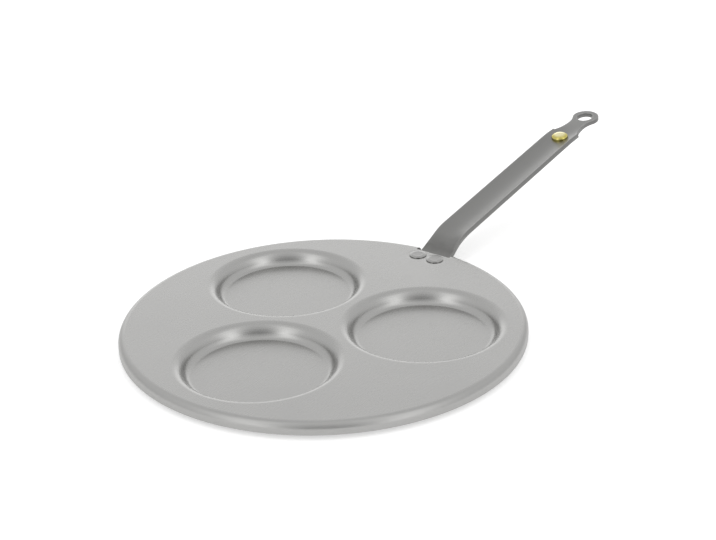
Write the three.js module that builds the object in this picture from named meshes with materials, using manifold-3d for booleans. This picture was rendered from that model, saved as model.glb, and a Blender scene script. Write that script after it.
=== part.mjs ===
// A pancake pan: a pressed steel plate with three round wells, and a riveted strip handle.
// Millimetres, +Z up. The origin is the centre of the plate's top face, and the handle runs along +X.

import * as THREE from "three";
import { mergeVertices } from "three/addons/utils/BufferGeometryUtils.js";
import Module from "manifold-3d";

const wasm = await Module();
wasm.setup();

// Plate: the flat web between two wells, and the flat border between a well and the rim's bend
const SHEET = 2.5;
const WELL_WEB = 4.14;
const BORDER = 8.07;

// Wells: the radii are those of the upper face, where a rounded shoulder runs into a rounded corner
const WELL_COUNT = 3;
const WELL_FLOOR_RADIUS = 42.95;
const WELL_DEPTH = 8.65;
const WELL_SHOULDER_RADIUS = 8.3;
const WELL_CORNER_RADIUS = 5.3;

// Rim: the edge of the sheet turned straight down, open at a notch where the handle leaves
const RIM_BEND_RADIUS = 4.7;
const RIM_HEIGHT = 7.9;
const NOTCH_INSET = 2.6;
const NOTCH_CLEARANCE = 1.45;

// Handle strip: foot, wrist and grip, flared on each side at the root, with bend radii on the upper face
const STRIP_WIDTH = 22.4;
const STRIP_THICKNESS = 3.4;
const ROOT_FLARE = 1.4;
const FLARE_LENGTH = 20;
const ROOT_BEND_RADIUS = 9;
const WRIST_ANGLE = THREE.MathUtils.degToRad(26.26);
const WRIST_LENGTH = 9.05;
const GRIP_BEND_RADIUS = 62.4;
const GRIP_ANGLE = THREE.MathUtils.degToRad(9.43);
const GRIP_LENGTH = 158.5;

// Dish pressed along the grip: it forms between the root and the grip, and fades past the shoulders
const DISH_DEPTH = 2.4;
const DISH_RUN_IN = 3;
const DISH_FADE_LEAD = 16;
const DISH_FADE_OUT = 18;

// End of the handle: square shoulders, a neck and a round eye, on a tongue that bends down as the dish fades.
// The hanging hole is longer than it is wide: it reaches towards the neck by twice its stretch.
const TONGUE_BEND = THREE.MathUtils.degToRad(3);
const SHOULDER_STEP = 1.2;
const NECK_WIDTH = 14;
const NECK_LENGTH = 17.2;
const EYE_RADIUS = 10.3;
const EYE_REACH = 14.1;
const HANGING_HOLE_RADIUS = 5.8;
const HANGING_HOLE_STRETCH = 1.1;

// Rivets: low bevelled heads side by side at the notch, formed heads below, and the foot's margin round those
const RIVET_HEAD_GAP = 2.2;
const RIVET_EDGE = 2;
const RIVET_SHANK_RADIUS = 2.9;
const RIVET_HEAD_RADIUS = 6.1;
const RIVET_HEAD_HEIGHT = 0.9;
const RIVET_HEAD_WALL = 0.5;
const RIVET_HEAD_BEVEL = 1.8;
const RIVET_TAIL_RADIUS = 5;
const RIVET_TAIL_HEIGHT = 1.8;
const FOOT_BORDER = 3.5;

// Brass stud near the shoulders: a domed head in a flat round seat, and a closed end below
const STUD_SETBACK = 9.3;
const STUD_HEAD_RADIUS = 6.3;
const STUD_HEAD_HEIGHT = 3.6;
const STUD_HEAD_WALL = 1.3;
const STUD_SHANK_RADIUS = 3;
const STUD_TAIL_RADIUS = 4.6;
const STUD_TAIL_HEIGHT = 1.2;
const STUD_TAIL_CHAMFER = 0.5;

// Clearances: round a shank in its hole, and between a seat and what is pressed into it
const SHANK_CLEARANCE = 0.3;
const SEAT_GAP = 0.3;

// How finely round shapes are cut into flats
const RIM_SEGMENTS = 72;
const WELL_SEGMENTS = 36;
const HOLE_SEGMENTS = 20;
const ARC_STEPS = 4;
const CURVE_SEGMENTS = 8;
const ACROSS_STEPS = 10;
const BEND_STEPS = 5;
const FORMING_STEPS = 3;
const FADING_STEPS = 3;

// How far a cut runs past what it cuts, how far joined shapes lap, and how near points count as one
const OVERCUT = 2;
const LAP = 0.8;
const SAME_POINT = 1e-4;

// Sizes that follow from those above
const wellTurn = Math.acos(1 - Math.min(1, WELL_DEPTH / (WELL_SHOULDER_RADIUS + WELL_CORNER_RADIUS)));
const wellSlopeRun = (WELL_SHOULDER_RADIUS + WELL_CORNER_RADIUS) * Math.sin(wellTurn);
const wellRadius = WELL_FLOOR_RADIUS + wellSlopeRun;
const wellPitchRadius = (wellRadius + WELL_WEB / 2) / Math.sin(Math.PI / WELL_COUNT);
const flatRadius = wellPitchRadius + wellRadius + BORDER;
const panRadius = flatRadius + RIM_BEND_RADIUS;
const notchX = flatRadius - NOTCH_INSET;
const rootWidth = STRIP_WIDTH + 2 * ROOT_FLARE;
const notchWidth = rootWidth + 2 * NOTCH_CLEARANCE;
const rivetX = notchX - RIVET_EDGE - RIVET_HEAD_RADIUS;
const rivetY = RIVET_HEAD_RADIUS + RIVET_HEAD_GAP / 2;
const footRadius = RIVET_TAIL_RADIUS + FOOT_BORDER;

const STEEL = new THREE.MeshStandardMaterial({ color: 0xb3b3b1, roughness: 0.45, metalness: 0.85 });
const HANDLE_STEEL = new THREE.MeshStandardMaterial({ color: 0x8b8b88, roughness: 0.5, metalness: 0.85 });
const RIVET_STEEL = new THREE.MeshStandardMaterial({ color: 0xaeaeac, roughness: 0.4, metalness: 0.85 });
const BRASS = new THREE.MeshStandardMaterial({ color: 0xc9a544, roughness: 0.25, metalness: 0.95 });

// A closed geometry as a solid that can be cut and joined, without the flat triangles where points coincide
function solid(geometry) {
  const bare = geometry.clone();
  bare.deleteAttribute("normal");
  bare.deleteAttribute("uv");
  const merged = mergeVertices(bare, SAME_POINT);
  const vertProperties = new Float32Array(merged.attributes.position.array);
  const corners = merged.index.array;
  const kept = [];
  for (let i = 0; i < corners.length; i += 3) {
    const [a, b, c] = corners.slice(i, i + 3);
    if (a !== b && b !== c && c !== a) kept.push(a, b, c);
  }
  const triVerts = new Uint32Array(kept);
  return new wasm.Manifold(new wasm.Mesh({ numProp: 3, vertProperties, triVerts }));
}

function mesh(name, body, material) {
  const { vertProperties, triVerts } = body.getMesh();
  const geometry = new THREE.BufferGeometry();
  geometry.setAttribute("position", new THREE.BufferAttribute(vertProperties, 3));
  geometry.setIndex(new THREE.BufferAttribute(triVerts, 1));
  geometry.computeVertexNormals();
  const piece = new THREE.Mesh(geometry, material);
  piece.name = name;
  return piece;
}

// A solid turned about +Z from a profile of radius and height that runs upwards on its outside
function turned(profile, segments) {
  const geometry = new THREE.LatheGeometry(profile, segments);
  geometry.rotateX(Math.PI / 2);
  return solid(geometry);
}

function cylinder(radius, bottom, top, segments) {
  const profile = [
    new THREE.Vector2(0, bottom),
    new THREE.Vector2(radius, bottom),
    new THREE.Vector2(radius, top),
    new THREE.Vector2(0, top),
  ];
  return turned(profile, segments);
}

function arc(centreX, centreY, radius, from, to) {
  const points = [];
  for (let i = 0; i <= ARC_STEPS; i++) {
    const angle = from + ((to - from) * i) / ARC_STEPS;
    points.push(new THREE.Vector2(centreX + radius * Math.cos(angle), centreY + radius * Math.sin(angle)));
  }
  return points;
}

function extruded(shape, bottom, top) {
  const options = { depth: top - bottom, bevelEnabled: false, curveSegments: CURVE_SEGMENTS };
  const geometry = new THREE.ExtrudeGeometry(shape, options);
  geometry.translate(0, 0, bottom);
  return solid(geometry);
}

function rectangle(x0, x1, width) {
  const shape = new THREE.Shape();
  shape.moveTo(x0, -width / 2);
  shape.lineTo(x1, -width / 2);
  shape.lineTo(x1, width / 2);
  shape.lineTo(x0, width / 2);
  return shape;
}

// The flat plate with its turned-down rim
function plateBlank() {
  const inside = RIM_BEND_RADIUS - SHEET;
  const profile = [
    new THREE.Vector2(0, -SHEET),
    ...arc(flatRadius, -RIM_BEND_RADIUS, inside, Math.PI / 2, 0),
    new THREE.Vector2(panRadius - SHEET, -RIM_HEIGHT),
    new THREE.Vector2(panRadius, -RIM_HEIGHT),
    ...arc(flatRadius, -RIM_BEND_RADIUS, RIM_BEND_RADIUS, 0, Math.PI / 2),
    new THREE.Vector2(0, 0),
  ];
  return turned(profile, RIM_SEGMENTS);
}

// One well, from the middle of its floor out to a narrow flange that laps the plate
function wellShell() {
  const top = Math.PI / 2;
  const bottom = -Math.PI / 2;
  const shoulderZ = -WELL_SHOULDER_RADIUS;
  const cornerZ = WELL_CORNER_RADIUS - WELL_DEPTH;
  const flange = wellRadius + LAP;
  const under = [
    ...arc(WELL_FLOOR_RADIUS, cornerZ, WELL_CORNER_RADIUS + SHEET, bottom, bottom + wellTurn),
    ...arc(wellRadius, shoulderZ, WELL_SHOULDER_RADIUS - SHEET, top + wellTurn, top),
  ];
  const upper = [
    ...arc(wellRadius, shoulderZ, WELL_SHOULDER_RADIUS, top, top + wellTurn),
    ...arc(WELL_FLOOR_RADIUS, cornerZ, WELL_CORNER_RADIUS, bottom + wellTurn, bottom),
  ];
  const profile = [
    new THREE.Vector2(0, -WELL_DEPTH - SHEET),
    ...under,
    new THREE.Vector2(flange, -SHEET),
    new THREE.Vector2(flange, 0),
    ...upper,
    new THREE.Vector2(0, -WELL_DEPTH),
  ];
  return turned(profile, WELL_SEGMENTS);
}

function panPlate() {
  let plate = plateBlank();
  const opening = cylinder(wellRadius + LAP / 2, -SHEET - OVERCUT, OVERCUT, WELL_SEGMENTS);
  const shell = wellShell();
  for (let i = 0; i < WELL_COUNT; i++) {
    const angle = Math.PI + (2 * Math.PI * i) / WELL_COUNT;
    const at = [wellPitchRadius * Math.cos(angle), wellPitchRadius * Math.sin(angle), 0];
    plate = plate.subtract(opening.translate(at)).add(shell.translate(at));
  }
  const notch = extruded(rectangle(notchX, panRadius + OVERCUT, notchWidth), -RIM_HEIGHT - OVERCUT, OVERCUT);
  plate = plate.subtract(notch);
  return rivetHoles(plate);
}

// Cuts both rivet holes through the plate or the foot
function rivetHoles(body) {
  const reach = SHEET + STRIP_THICKNESS + OVERCUT;
  const hole = cylinder(RIVET_SHANK_RADIUS + SHANK_CLEARANCE, -reach, OVERCUT, HOLE_SEGMENTS);
  const left = hole.translate([rivetX, rivetY, 0]);
  const right = hole.translate([rivetX, -rivetY, 0]);
  return body.subtract(left).subtract(right);
}

// The line along the middle of the strip's upper face, as stations with a place, a slope and a distance
function handleLine() {
  const stations = [];
  const now = { x: rivetX, z: -SHEET, angle: 0, distance: 0 };
  const keep = () => stations.push({ ...now });
  const straight = (length, steps = 1) => {
    for (let i = 0; i < steps; i++) {
      now.x += (length / steps) * Math.cos(now.angle);
      now.z += (length / steps) * Math.sin(now.angle);
      now.distance += length / steps;
      keep();
    }
  };
  const bend = (radius, turn) => {
    const side = Math.sign(turn);
    for (let i = 0; i < BEND_STEPS; i++) {
      const next = now.angle + turn / BEND_STEPS;
      now.x += side * radius * (Math.sin(next) - Math.sin(now.angle));
      now.z += side * radius * (Math.cos(now.angle) - Math.cos(next));
      now.distance += (radius * Math.abs(turn)) / BEND_STEPS;
      now.angle = next;
      keep();
    }
  };
  keep();
  straight(notchX - rivetX);
  const root = now.distance;
  bend(ROOT_BEND_RADIUS, WRIST_ANGLE);
  straight(WRIST_LENGTH, FORMING_STEPS);
  bend(GRIP_BEND_RADIUS, GRIP_ANGLE - WRIST_ANGLE);
  const gripStart = { ...now };
  straight(DISH_RUN_IN);
  straight(GRIP_LENGTH - DISH_RUN_IN - DISH_FADE_LEAD);
  straight(DISH_FADE_LEAD, FADING_STEPS);
  bend(DISH_FADE_OUT / TONGUE_BEND, -TONGUE_BEND);
  straight(NECK_LENGTH + EYE_REACH + EYE_RADIUS + OVERCUT - DISH_FADE_OUT);
  return { stations, root, gripStart };
}

const { stations, root, gripStart } = handleLine();
const dishFormed = gripStart.distance + DISH_RUN_IN;
const shoulder = gripStart.distance + GRIP_LENGTH;

// Depth of the dish at a distance along the strip
function dishDepth(distance) {
  const forming = THREE.MathUtils.smoothstep(distance, root, dishFormed);
  const fading = THREE.MathUtils.smoothstep(distance, shoulder - DISH_FADE_LEAD, shoulder + DISH_FADE_OUT);
  return DISH_DEPTH * forming * (1 - fading);
}

// Width of the strip at a distance along it
function stripWidth(distance) {
  const narrowed = THREE.MathUtils.smoothstep(distance, root, root + FLARE_LENGTH);
  return THREE.MathUtils.lerp(rootWidth, STRIP_WIDTH, narrowed);
}

// The strip before its end is cut to shape: a grid of points on both faces, closed along its edges
function stripBlank() {
  const half = STRIP_WIDTH / 2;
  const columns = ACROSS_STEPS + 1;
  const positions = [];
  for (const lower of [0, 1]) {
    for (const station of stations) {
      const depth = dishDepth(station.distance);
      const width = stripWidth(station.distance);
      for (let j = 0; j < columns; j++) {
        const y = width * (j / ACROSS_STEPS - 0.5);
        const tilt = Math.atan((2 * depth * y) / half ** 2);
        const across = y + lower * STRIP_THICKNESS * Math.sin(tilt);
        const rise = depth * (y / half) ** 2 - lower * STRIP_THICKNESS * Math.cos(tilt);
        const x = station.x - rise * Math.sin(station.angle);
        const z = station.z + rise * Math.cos(station.angle);
        positions.push(x, across, z);
      }
    }
  }
  const rows = stations.length;
  const edge = ACROSS_STEPS;
  const at = (lower, i, j) => (lower * rows + i) * columns + j;
  const index = [];
  const quad = (a, b, c, d) => index.push(a, b, c, a, c, d);
  for (let i = 0; i < rows - 1; i++) {
    for (let j = 0; j < ACROSS_STEPS; j++) {
      quad(at(0, i, j), at(0, i + 1, j), at(0, i + 1, j + 1), at(0, i, j + 1));
      quad(at(1, i, j), at(1, i, j + 1), at(1, i + 1, j + 1), at(1, i + 1, j));
    }
    quad(at(1, i, 0), at(1, i + 1, 0), at(0, i + 1, 0), at(0, i, 0));
    quad(at(0, i, edge), at(0, i + 1, edge), at(1, i + 1, edge), at(1, i, edge));
  }
  const last = rows - 1;
  for (let j = 0; j < ACROSS_STEPS; j++) {
    quad(at(0, 0, j), at(0, 0, j + 1), at(1, 0, j + 1), at(1, 0, j));
    quad(at(0, last, j), at(1, last, j), at(1, last, j + 1), at(0, last, j + 1));
  }
  const geometry = new THREE.BufferGeometry();
  geometry.setAttribute("position", new THREE.Float32BufferAttribute(positions, 3));
  geometry.setIndex(index);
  return solid(geometry);
}

// Turns a solid drawn on the grip, with X along it from the grip's start, into the pan's frame
function onGrip(body) {
  const degrees = -THREE.MathUtils.radToDeg(GRIP_ANGLE);
  return body.rotate([0, degrees, 0]).translate([gripStart.x, 0, gripStart.z]);
}

// What is cut away beside the neck and the eye on one side of the handle
function endWaste(side) {
  const step = STRIP_WIDTH / 2 - SHOULDER_STEP;
  const neck = NECK_WIDTH / 2;
  const neckX = GRIP_LENGTH + NECK_LENGTH;
  const eyeX = neckX + EYE_REACH;
  const drop = step - neck;
  const shoulderArc = (NECK_LENGTH ** 2 + drop ** 2) / (2 * drop);
  const eyeArc = (EYE_REACH ** 2 + neck ** 2 - EYE_RADIUS ** 2) / (2 * (EYE_RADIUS - neck));
  const shoulderTurn = Math.asin(NECK_LENGTH / shoulderArc);
  const eyeTurn = Math.asin(EYE_REACH / (eyeArc + EYE_RADIUS));
  const outside = STRIP_WIDTH / 2 + STRIP_THICKNESS + OVERCUT;
  const shape = new THREE.Shape();
  shape.moveTo(GRIP_LENGTH, outside);
  shape.lineTo(GRIP_LENGTH, step);
  shape.absarc(neckX, neck + shoulderArc, shoulderArc, -Math.PI / 2 - shoulderTurn, -Math.PI / 2, false);
  shape.absarc(neckX, neck + eyeArc, eyeArc, -Math.PI / 2, -Math.PI / 2 + eyeTurn, false);
  shape.absarc(eyeX, 0, EYE_RADIUS, Math.PI / 2 + eyeTurn, 0, true);
  shape.lineTo(eyeX + EYE_RADIUS + 2 * OVERCUT, 0);
  shape.lineTo(eyeX + EYE_RADIUS + 2 * OVERCUT, outside);
  const reach = STRIP_THICKNESS + DISH_DEPTH + OVERCUT;
  const waste = extruded(shape, -reach, reach);
  return side > 0 ? waste : waste.mirror([0, 1, 0]);
}

// The wide foot riveted under the plate, rounded about each rivet and narrowing to the strip at the notch
function foot() {
  const shape = new THREE.Shape();
  shape.absarc(rivetX, -rivetY, footRadius, Math.PI, 1.5 * Math.PI, false);
  shape.lineTo(notchX, -rootWidth / 2);
  shape.lineTo(notchX, rootWidth / 2);
  shape.absarc(rivetX, rivetY, footRadius, Math.PI / 2, Math.PI, false);
  return extruded(shape, -SHEET - STRIP_THICKNESS, -SHEET);
}

function handle() {
  const holeX = GRIP_LENGTH + NECK_LENGTH + EYE_REACH - HANGING_HOLE_STRETCH;
  const reach = STRIP_THICKNESS + OVERCUT;
  const longer = 1 + HANGING_HOLE_STRETCH / HANGING_HOLE_RADIUS;
  const roundHole = cylinder(HANGING_HOLE_RADIUS, -reach, reach, HOLE_SEGMENTS);
  const hangingHole = roundHole.scale([longer, 1, 1]).translate([holeX, 0, 0]);
  const studX = GRIP_LENGTH - STUD_SETBACK;
  const studHole = cylinder(STUD_SHANK_RADIUS + SHANK_CLEARANCE, -reach, reach, HOLE_SEGMENTS);
  const studSeat = cylinder(STUD_HEAD_RADIUS + SEAT_GAP, 0, DISH_DEPTH + OVERCUT, HOLE_SEGMENTS);
  let strip = stripBlank();
  strip = strip.subtract(onGrip(endWaste(1))).subtract(onGrip(endWaste(-1)));
  strip = strip.subtract(onGrip(hangingHole));
  strip = strip.subtract(onGrip(studHole.translate([studX, 0, 0])));
  strip = strip.subtract(onGrip(studSeat.translate([studX, 0, 0])));
  return rivetHoles(strip.add(foot()));
}

// A rivet standing on the plate's top face, with its formed head against the foot
function rivet() {
  const seat = -SHEET - STRIP_THICKNESS;
  const domeRadius = (RIVET_TAIL_RADIUS ** 2 + RIVET_TAIL_HEIGHT ** 2) / (2 * RIVET_TAIL_HEIGHT);
  const domeTurn = Math.asin(RIVET_TAIL_RADIUS / domeRadius);
  const domeCentre = seat - RIVET_TAIL_HEIGHT + domeRadius;
  const profile = [
    ...arc(0, domeCentre, domeRadius, -Math.PI / 2, -Math.PI / 2 + domeTurn),
    new THREE.Vector2(RIVET_SHANK_RADIUS, seat),
    new THREE.Vector2(RIVET_SHANK_RADIUS, 0),
    new THREE.Vector2(RIVET_HEAD_RADIUS, 0),
    new THREE.Vector2(RIVET_HEAD_RADIUS, RIVET_HEAD_WALL),
    new THREE.Vector2(RIVET_HEAD_RADIUS - RIVET_HEAD_BEVEL, RIVET_HEAD_HEIGHT),
    new THREE.Vector2(0, RIVET_HEAD_HEIGHT),
  ];
  return turned(profile, HOLE_SEGMENTS);
}

// The brass stud: a head with a low wall and a dome, its shank through the strip and a closed end below
function stud() {
  const top = SEAT_GAP + STUD_HEAD_HEIGHT;
  const domeRise = STUD_HEAD_HEIGHT - STUD_HEAD_WALL;
  const domeRadius = (STUD_HEAD_RADIUS ** 2 + domeRise ** 2) / (2 * domeRise);
  const domeTurn = Math.asin(STUD_HEAD_RADIUS / domeRadius);
  const under = -STRIP_THICKNESS - SEAT_GAP;
  const bottom = under - STUD_TAIL_HEIGHT;
  const profile = [
    new THREE.Vector2(0, bottom),
    new THREE.Vector2(STUD_TAIL_RADIUS - STUD_TAIL_CHAMFER, bottom),
    new THREE.Vector2(STUD_TAIL_RADIUS, bottom + STUD_TAIL_CHAMFER),
    new THREE.Vector2(STUD_TAIL_RADIUS, under),
    new THREE.Vector2(STUD_SHANK_RADIUS, under),
    new THREE.Vector2(STUD_SHANK_RADIUS, SEAT_GAP),
    new THREE.Vector2(STUD_HEAD_RADIUS, SEAT_GAP),
    ...arc(0, top - domeRadius, domeRadius, Math.PI / 2 - domeTurn, Math.PI / 2),
  ];
  return turned(profile, HOLE_SEGMENTS);
}

const pan = new THREE.Group();
pan.add(mesh("pan_plate", panPlate(), STEEL));
pan.add(mesh("handle", handle(), HANDLE_STEEL));

for (const [name, side] of [["rivet_left", 1], ["rivet_right", -1]]) {
  const piece = mesh(name, rivet(), RIVET_STEEL);
  piece.position.set(rivetX, side * rivetY, 0);
  pan.add(piece);
}

const gripFrame = new THREE.Group();
gripFrame.position.set(gripStart.x, 0, gripStart.z);
gripFrame.rotation.y = -GRIP_ANGLE;
const studPiece = mesh("medallion_stud", stud(), BRASS);
studPiece.position.x = GRIP_LENGTH - STUD_SETBACK;
gripFrame.add(studPiece);
pan.add(gripFrame);

export default pan;
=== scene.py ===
"""A pancake pan in raw steel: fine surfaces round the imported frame, in a pale studio."""

import math

import bpy
import numpy as np
from mathutils import Matrix, Vector
from mathutils.geometry import delaunay_2d_cdt


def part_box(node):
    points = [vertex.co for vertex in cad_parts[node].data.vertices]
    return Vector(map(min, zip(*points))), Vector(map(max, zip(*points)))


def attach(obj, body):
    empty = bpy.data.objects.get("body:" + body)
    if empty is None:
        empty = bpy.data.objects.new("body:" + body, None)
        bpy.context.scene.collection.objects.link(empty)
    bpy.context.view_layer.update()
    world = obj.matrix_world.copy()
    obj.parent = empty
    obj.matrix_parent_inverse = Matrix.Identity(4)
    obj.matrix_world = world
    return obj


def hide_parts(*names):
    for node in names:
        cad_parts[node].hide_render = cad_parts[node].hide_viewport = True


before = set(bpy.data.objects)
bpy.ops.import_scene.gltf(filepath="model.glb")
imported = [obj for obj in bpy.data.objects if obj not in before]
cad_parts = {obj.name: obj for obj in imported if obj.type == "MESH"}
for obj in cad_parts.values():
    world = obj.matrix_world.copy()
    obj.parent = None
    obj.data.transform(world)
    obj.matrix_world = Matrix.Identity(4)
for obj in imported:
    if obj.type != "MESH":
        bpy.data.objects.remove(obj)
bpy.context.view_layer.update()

# Sizes in metres, as in the frame. Plate and wells
SHEET = 0.0025
WELL_COUNT = 3
WELL_WEB = 0.00414
WELL_FLOOR_RADIUS = 0.04295
WELL_SHOULDER_RADIUS = 0.0083
WELL_CORNER_RADIUS = 0.0053
RIM_BEND_RADIUS = 0.0047
RIM_HEIGHT = 0.0079
NOTCH_INSET = 0.0026
NOTCH_CLEARANCE = 0.00145

# Handle strip
STRIP_WIDTH = 0.0224
STRIP_THICKNESS = 0.0034
ROOT_FLARE = 0.0014
FLARE_LENGTH = 0.02
ROOT_BEND_RADIUS = 0.009
WRIST_ANGLE = math.radians(26.26)
WRIST_LENGTH = 0.00905
GRIP_BEND_RADIUS = 0.0624
GRIP_ANGLE = math.radians(9.43)
GRIP_LENGTH = 0.1585
DISH_DEPTH = 0.0024
DISH_RUN_IN = 0.003
DISH_FADE_LEAD = 0.016
DISH_FADE_OUT = 0.018
TONGUE_BEND = math.radians(3)
SHOULDER_STEP = 0.0012
NECK_WIDTH = 0.014
NECK_LENGTH = 0.0172
EYE_RADIUS = 0.0103
EYE_REACH = 0.0141
HANGING_HOLE_RADIUS = 0.0058
HANGING_HOLE_STRETCH = 0.0011
FOOT_BORDER = 0.0035

# Rivets and stud
RIVET_SHANK_RADIUS = 0.0029
RIVET_TAIL_RADIUS = 0.005
RIVET_TAIL_HEIGHT = 0.0018
RIVET_WALL = 0.0005
RIVET_BEVEL = 0.0018
RIVET_HOLLOW = 0.00008
RIVET_EDGE_RADIUS = 0.00015
RIVET_DIMPLE = 0.0001
DIMPLE_REACH = 0.0028
STUD_SETBACK = 0.0093
STUD_HEAD_RADIUS = 0.0063
STUD_HEAD_HEIGHT = 0.0036
STUD_WALL = 0.0013
# Reach of the painted highlight on the stud's dome
STUD_HIGHLIGHT_RADIUS = 0.0055
STUD_EDGE_RADIUS = 0.0005
STUD_SHANK_RADIUS = 0.003
STUD_TAIL_RADIUS = 0.0046
STUD_TAIL_HEIGHT = 0.0012
SHANK_CLEARANCE = 0.0003
SEAT_GAP = 0.0003
SEAT_FIT = 0.00004
SEAT_WALL = 0.0001

# Small rounding of cut edges, and the flat margin kept beside a bend so that flats stay flat
PLATE_EDGE = 0.0004
STRIP_EDGE = 0.0004
GUARD = 0.0004

# How finely the plate is cut
RIM_COLUMNS = 360
RIM_WALL_STEPS = 3
BEND_STEPS = 14
WELL_COLUMNS = 168
FLOOR_RINGS = 6
SHOULDER_STEPS = 22
CORNER_STEPS = 14
WEB_SPACING = 0.006
NOTCH_SPACING = 0.0016
NOTCH_STEPS = 16
NOTCH_ROWS = 10
DIMPLE_RINGS = 5
DIMPLE_ROW_STEPS = 16

# How finely the strip is cut, with a spacing of its cross lines for each run up to the shoulders
STRIP_COLUMNS = 24
STRIP_SPACINGS = (0.0016, 0.00025, 0.0009, 0.0009, 0.0016)
FOOT_STEPS = 14
FOOT_SIDE_STEPS = 6
FOOT_FRONT_STEPS = 10
NECK_STEPS = 14
EYE_STEPS = 40
EYE_COLUMNS = 56
POINT_CLEARANCE = 0.6

# How finely holes, cut edges and turned pieces are cut
HOLE_COLUMNS = 40
EDGE_STEPS = 4
TURNED_COLUMNS = 72
TAIL_RINGS = 10
FACE_RINGS = 8
BEVEL_SHARES = (0.3, 0.6, 0.9)
STUD_EDGE_STEPS = 5
STUD_WALL_STEPS = 2
CROWN_RINGS = 16

# Meshes: where shading breaks, when two points are one, and how outlines are filled
SHARP_ANGLE = math.radians(42)
POINT_DIGITS = 6
TOUCHING = 1e-6
MILLIMETRES = 1000.0
CONVEX_HULL = 0

# Camera, worked out from the pan's outlines in the photograph, which is 716 by 540 pixels
IMAGE_SIZE = (716, 540)
SENSOR_WIDTH = 36.0
CAMERA_AZIMUTH = math.radians(-51.042)
CAMERA_ELEVATION = math.radians(26.773)
CAMERA_ROLL = math.radians(-2.357)
CAMERA_DISTANCE = 1.0844
FOCAL_PIXELS = 1640.08
ORIGIN_PIXEL = (323.3, 320.2)

# Places that follow from the frame and the sizes above
plate_low, plate_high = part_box("pan_plate")
rivet_low, rivet_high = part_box("rivet_left")
pan_radius = plate_high.y
stance = plate_low.z
well_depth = -stance - SHEET
well_turn = math.acos(1 - well_depth / (WELL_SHOULDER_RADIUS + WELL_CORNER_RADIUS))
well_slope_run = (WELL_SHOULDER_RADIUS + WELL_CORNER_RADIUS) * math.sin(well_turn)
well_radius = WELL_FLOOR_RADIUS + well_slope_run
well_pitch_radius = (well_radius + WELL_WEB / 2) / math.sin(math.pi / WELL_COUNT)
flat_radius = pan_radius - RIM_BEND_RADIUS
notch_x = flat_radius - NOTCH_INSET
notch_half = STRIP_WIDTH / 2 + ROOT_FLARE + NOTCH_CLEARANCE
rivet_x = (rivet_low.x + rivet_high.x) / 2
rivet_y = (rivet_low.y + rivet_high.y) / 2
rivet_head_radius = (rivet_high.x - rivet_low.x) / 2
rivet_head_height = rivet_high.z
rivet_hole_radius = RIVET_SHANK_RADIUS + SHANK_CLEARANCE
foot_radius = RIVET_TAIL_RADIUS + FOOT_BORDER
strip_half = STRIP_WIDTH / 2
root = notch_x - rivet_x
strip_runs = [
    (root, 0.0),
    (ROOT_BEND_RADIUS * WRIST_ANGLE, WRIST_ANGLE),
    (WRIST_LENGTH, 0.0),
    (GRIP_BEND_RADIUS * (WRIST_ANGLE - GRIP_ANGLE), GRIP_ANGLE - WRIST_ANGLE),
    (GRIP_LENGTH, 0.0),
    (DISH_FADE_OUT, -TONGUE_BEND),
    (NECK_LENGTH + EYE_REACH + EYE_RADIUS - DISH_FADE_OUT, 0.0),
]
runs_before_grip = 4
grip_start = sum(length for length, _ in strip_runs[:runs_before_grip])
shoulder_at = grip_start + GRIP_LENGTH
neck_at = shoulder_at + NECK_LENGTH
eye_at = neck_at + EYE_REACH
stud_at = shoulder_at - STUD_SETBACK
seat_radius = STUD_HEAD_RADIUS + SEAT_FIT


def arc(centre, radius, start, end, steps):
    """Points along an arc in a plane, both ends included."""
    points = []
    for i in range(steps + 1):
        angle = start + (end - start) * i / steps
        points.append((centre[0] + radius * math.cos(angle), centre[1] + radius * math.sin(angle)))
    return points


def spread(start, end, steps):
    """Evenly spaced numbers from start to end, both included."""
    return [start + (end - start) * i / steps for i in range(steps + 1)]


def smoothstep(value, low, high):
    t = min(1.0, max(0.0, (value - low) / (high - low)))
    return t * t * (3 - 2 * t)


def inside(points, loop):
    """Which of the points lie inside a closed loop."""
    x, y = points[:, 0], points[:, 1]
    result = np.zeros(len(points), bool)
    for (x0, y0), (x1, y1) in zip(loop, loop[1:] + loop[:1]):
        crosses = (y0 > y) != (y1 > y)
        run = (x1 - x0) * (y - y0) / (y1 - y0 if y1 != y0 else 1.0) + x0
        result ^= crosses & (x < run)
    return result


def clearance(points, loop):
    """Distance from each of the points to the nearest side of a closed loop."""
    nearest = np.full(len(points), np.inf)
    for start, end in zip(loop, loop[1:] + loop[:1]):
        start, side = np.array(start), np.array(end) - np.array(start)
        along = np.clip((points - start) @ side / (side @ side), 0, 1)
        nearest = np.minimum(nearest, np.linalg.norm(points - start - np.outer(along, side), axis=1))
    return nearest


def triangles(outline, holes, inner, margin):
    """Fills an outline with holes: its points, the inner ones that keep the margin, and the triangles."""
    inner = np.array(inner)
    keep = inside(inner, outline) & (clearance(inner, outline) > margin)
    for hole in holes:
        keep &= ~inside(inner, hole) & (clearance(inner, hole) > margin)
    points, edges = [], []
    for loop in [outline, *holes]:
        first = len(points)
        points += loop
        edges += [(first + i, first + (i + 1) % len(loop)) for i in range(len(loop))]
    points += [tuple(p) for p in inner[keep]]
    flat = [Vector((x * MILLIMETRES, y * MILLIMETRES)) for x, y in points]
    _, _, faces, sources, _, _ = delaunay_2d_cdt(flat, edges, [], CONVEX_HULL, TOUCHING)
    places = [points[source[0]] for source in sources]
    middles = np.array([np.mean([places[i] for i in face], axis=0) for face in faces])
    kept = inside(middles, outline)
    for hole in holes:
        kept &= ~inside(middles, hole)
    return places, [face for face, k in zip(faces, kept) if k]


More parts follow.
